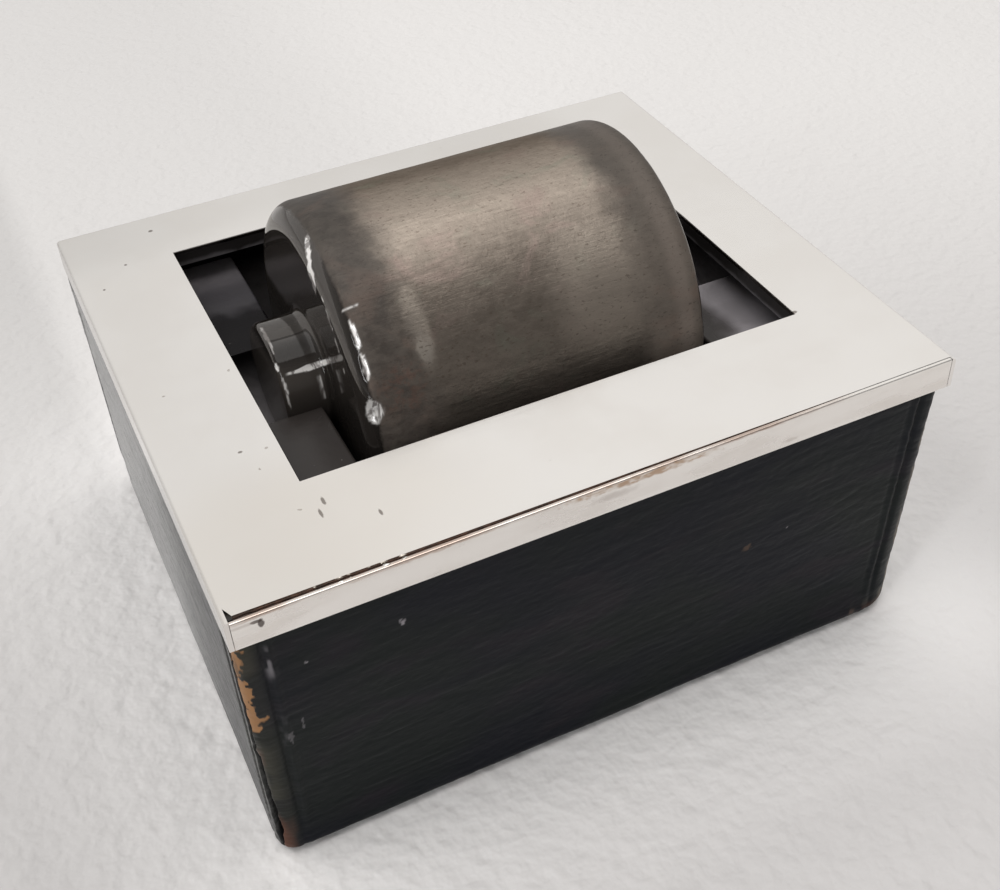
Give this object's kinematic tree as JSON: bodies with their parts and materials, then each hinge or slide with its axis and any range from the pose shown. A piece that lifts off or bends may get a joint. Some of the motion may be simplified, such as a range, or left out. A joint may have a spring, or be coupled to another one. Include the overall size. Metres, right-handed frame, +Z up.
{
  "type": "desk stamp moistener",
  "caption": "Desk moistener: ground-glass roller turning on glass necks in a black water tank, set in a leather-covered wooden box under a plated metal cap with a rectangular opening.",
  "frame": {"origin": "centre of the footprint (the cap's outline) on the surface it rests on", "axes": "+X along the long side and the roller's axis, +Y from front to back, +Z up; the front with the soldered strip faces -Y"},
  "size_m": [0.1, 0.089, 0.0641],
  "materials": {
    "plated_sheet": "silver plate, softly polished, warm and slightly worn",
    "ebonised_wood": "black lacquered",
    "box_wood": "raw, close grained",
    "leather": "dark green-black straight-grain leather, worn to tan at one corner",
    "leather_under": "matte black skiver",
    "vulcanite": "glossy black hard rubber",
    "ground_glass": "finely ground on the drum, polished on the shoulders and necks"
  },
  "bodies": {
    "box": {"board_front": "box_wood", "board_back": "box_wood", "board_left": "box_wood", "board_right": "box_wood", "board_base": "box_wood", "leather_wrap": "leather", "leather_base": "leather_under"},
    "tank": {"water_tank": "vulcanite", "bearing_block_left": "vulcanite", "bearing_block_right": "vulcanite"},
    "roller": {"glass_roller": "ground_glass"},
    "cap": {"cap_plate": "plated_sheet", "cap_front_strip": "plated_sheet", "cap_backing_front": "ebonised_wood", "cap_backing_back": "ebonised_wood", "cap_backing_left": "ebonised_wood", "cap_backing_right": "ebonised_wood"}
  },
  "joints": [
    {"name": "tank_lift", "type": "slide", "parent": "box", "child": "tank", "axis": [0, 0, 1], "range_m": [0, 0.042]},
    {"name": "cap_lift", "type": "slide", "parent": "tank", "child": "cap", "axis": [0, 0, 1], "range_m": [0, 0.026]},
    {"name": "roller_spin", "type": "hinge", "parent": "tank", "child": "roller", "pos_m": [0.00128, 0.00265, 0.04055], "axis": [1, 0, 0], "continuous": true}
  ]
}
